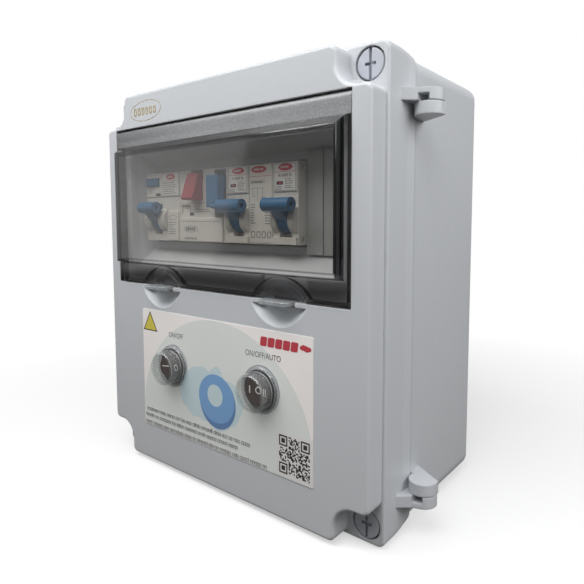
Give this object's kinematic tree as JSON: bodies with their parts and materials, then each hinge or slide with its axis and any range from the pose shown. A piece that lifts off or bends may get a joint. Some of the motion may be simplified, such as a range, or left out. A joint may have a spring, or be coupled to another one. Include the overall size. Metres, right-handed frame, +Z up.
{
  "type": "motor protection breaker control box",
  "caption": "Wall-mounted weatherproof box with smoked window over rail-mounted breakers, a residual current device and two capped rocker switches.",
  "frame": {"origin": "centre of the wall face of the back box", "axes": "+Z up, the front of the box looks along -Y, +Y goes into the wall, +X to the right seen from the front"},
  "size_m": [0.2323, 0.1354, 0.2478],
  "materials": {
    "enclosure": "fine satin moulded, light grey",
    "smoked": "smoked transparent polycarbonate",
    "clear": "clear polycarbonate",
    "device": "satin moulded, warm white",
    "blue": "satin moulded blue",
    "red": "satin moulded red",
    "steel": "zinc plated",
    "brass": "drawn brass",
    "rubber": "foam rubber",
    "screw_plastic": "moulded nylon, light grey",
    "blank": "satin moulded, mid grey",
    "black": "moulded nylon, black",
    "rocker": "moulded, dark brown black",
    "label": "printed vinyl film"
  },
  "bodies": {
    "case": {"back_box": "enclosure", "hinge_knuckle_top": "enclosure", "hinge_knuckle_bottom": "enclosure", "hinge_pin_top": "steel", "hinge_pin_bottom": "steel", "din_rail": "steel", "rail_screws": "steel", "rcd_case": "device", "motor_breaker_case": "device", "motor_breaker_cover": "device", "mcb_1_case": "device", "mcb_2_case": "device", "auxiliary_module_case": "device", "terminal_screws": "steel", "rail_clips": "device", "neutral_bar": "brass", "earth_bar": "brass", "bar_screws": "steel"},
    "cover": {"front_cover": "enclosure", "cover_gasket": "rubber", "hinge_arm_top": "enclosure", "hinge_arm_bottom": "enclosure", "blanking_strip": "blank", "front_label": "label", "switch_left_body": "black", "switch_left_cap": "clear", "switch_left_nut": "black", "switch_right_body": "black", "switch_right_cap": "clear", "switch_right_nut": "black", "switch_terminals": "brass"},
    "window": {"window_door": "smoked", "window_hinge_rod": "steel", "window_latch_left": "clear", "window_latch_right": "clear"},
    "screw_top_left": {"cover_screw_top_left": "screw_plastic"},
    "screw_top_right": {"cover_screw_top_right": "screw_plastic"},
    "screw_bottom_left": {"cover_screw_bottom_left": "screw_plastic"},
    "screw_bottom_right": {"cover_screw_bottom_right": "screw_plastic"},
    "rcd_lever": {"rcd_lever": "blue"},
    "rcd_test_button": {"rcd_test_button": "blue"},
    "paddle": {"motor_breaker_paddle": "red"},
    "drive_link": {"drive_link": "blue"},
    "mcb_1_handle": {"mcb_1_handle": "blue"},
    "mcb_2_handle": {"mcb_2_handle": "blue"},
    "rocker_left": {"switch_left_rocker": "rocker"},
    "rocker_right": {"switch_right_rocker": "rocker"}
  },
  "joints": [
    {"name": "cover_hinge", "type": "hinge", "parent": "case", "child": "cover", "pos_m": [0.1162, -0.087, 0], "axis": [0, 0, 1], "range_deg": [0, 110]},
    {"name": "window_hinge", "type": "hinge", "parent": "cover", "child": "window", "pos_m": [0, -0.1216, 0.0963], "axis": [-1, 0, 0], "range_deg": [0, 95]},
    {"name": "screw_top_left_turn", "type": "hinge", "parent": "cover", "child": "screw_top_left", "pos_m": [-0.0975, -0.105, 0.1132], "axis": [0, -1, 0], "range_deg": [0, 90]},
    {"name": "screw_top_right_turn", "type": "hinge", "parent": "cover", "child": "screw_top_right", "pos_m": [0.0975, -0.105, 0.1132], "axis": [0, -1, 0], "range_deg": [0, 90]},
    {"name": "screw_bottom_left_turn", "type": "hinge", "parent": "cover", "child": "screw_bottom_left", "pos_m": [-0.0975, -0.105, -0.1132], "axis": [0, -1, 0], "range_deg": [0, 90]},
    {"name": "screw_bottom_right_turn", "type": "hinge", "parent": "cover", "child": "screw_bottom_right", "pos_m": [0.0975, -0.105, -0.1132], "axis": [0, -1, 0], "range_deg": [0, 90]},
    {"name": "rcd_lever_turn", "type": "hinge", "parent": "case", "child": "rcd_lever", "pos_m": [-0.068, -0.108, 0.04], "axis": [1, 0, 0], "range_deg": [0, 70]},
    {"name": "mcb_1_turn", "type": "hinge", "parent": "case", "child": "mcb_1_handle", "pos_m": [0.00895, -0.108, 0.04], "axis": [1, 0, 0], "range_deg": [0, 70]},
    {"name": "mcb_2_turn", "type": "hinge", "parent": "case", "child": "mcb_2_handle", "pos_m": [0.04525, -0.108, 0.04], "axis": [1, 0, 0], "range_deg": [0, 70]},
    {"name": "drive_link_slide", "type": "slide", "parent": "case", "child": "drive_link", "axis": [0, 0, -1], "range_m": [0, 0.0165]},
    {"name": "paddle_lift", "type": "hinge", "parent": "case", "child": "paddle", "pos_m": [-0.02775, -0.1104, 0.0664], "axis": [-1, 0, 0], "range_deg": [0, 25]},
    {"name": "test_button_press", "type": "slide", "parent": "case", "child": "rcd_test_button", "axis": [0, 1, 0], "range_m": [0, 0.0015], "stiffness_N_per_m": 400},
    {"name": "rocker_left_turn", "type": "hinge", "parent": "cover", "child": "rocker_left", "pos_m": [-0.038, -0.124, -0.0525], "axis": [0, 0, -1], "range_deg": [0, 18]},
    {"name": "rocker_right_turn", "type": "hinge", "parent": "cover", "child": "rocker_right", "pos_m": [0.038, -0.124, -0.0525], "axis": [0, 0, 1], "range_deg": [-9, 9]}
  ],
  "couplings": [
    {"joint": "mcb_1_turn", "follows": "drive_link_slide", "rad_per_m": 74.04}
  ]
}
